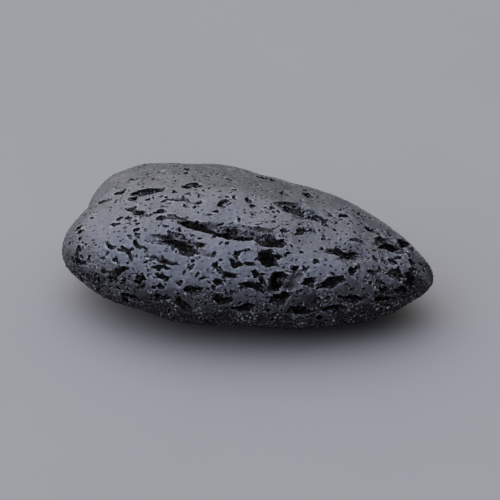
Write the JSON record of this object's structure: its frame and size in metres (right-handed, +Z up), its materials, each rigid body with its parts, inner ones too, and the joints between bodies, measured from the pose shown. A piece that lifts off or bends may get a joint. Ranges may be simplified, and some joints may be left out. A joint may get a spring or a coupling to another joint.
{
  "type": "lava rock",
  "caption": "Flat, egg-shaped, water-worn lava pebble riddled with gas hollows, blunt at one end and pointed at the other, resting on a small worn flat.",
  "frame": {"origin": "centre of the bounding box in plan, on the surface that the stone rests on", "axes": "+X along the stone's length towards its pointed end, +Y towards its back, +Z up out of its domed top"},
  "size_m": [0.063, 0.0394, 0.0199],
  "materials": {
    "basalt": "worn satin black basalt, matt and darker inside its gas hollows"
  },
  "bodies": {
    "root": {"lava_rock": "basalt"}
  },
  "joints": []
}
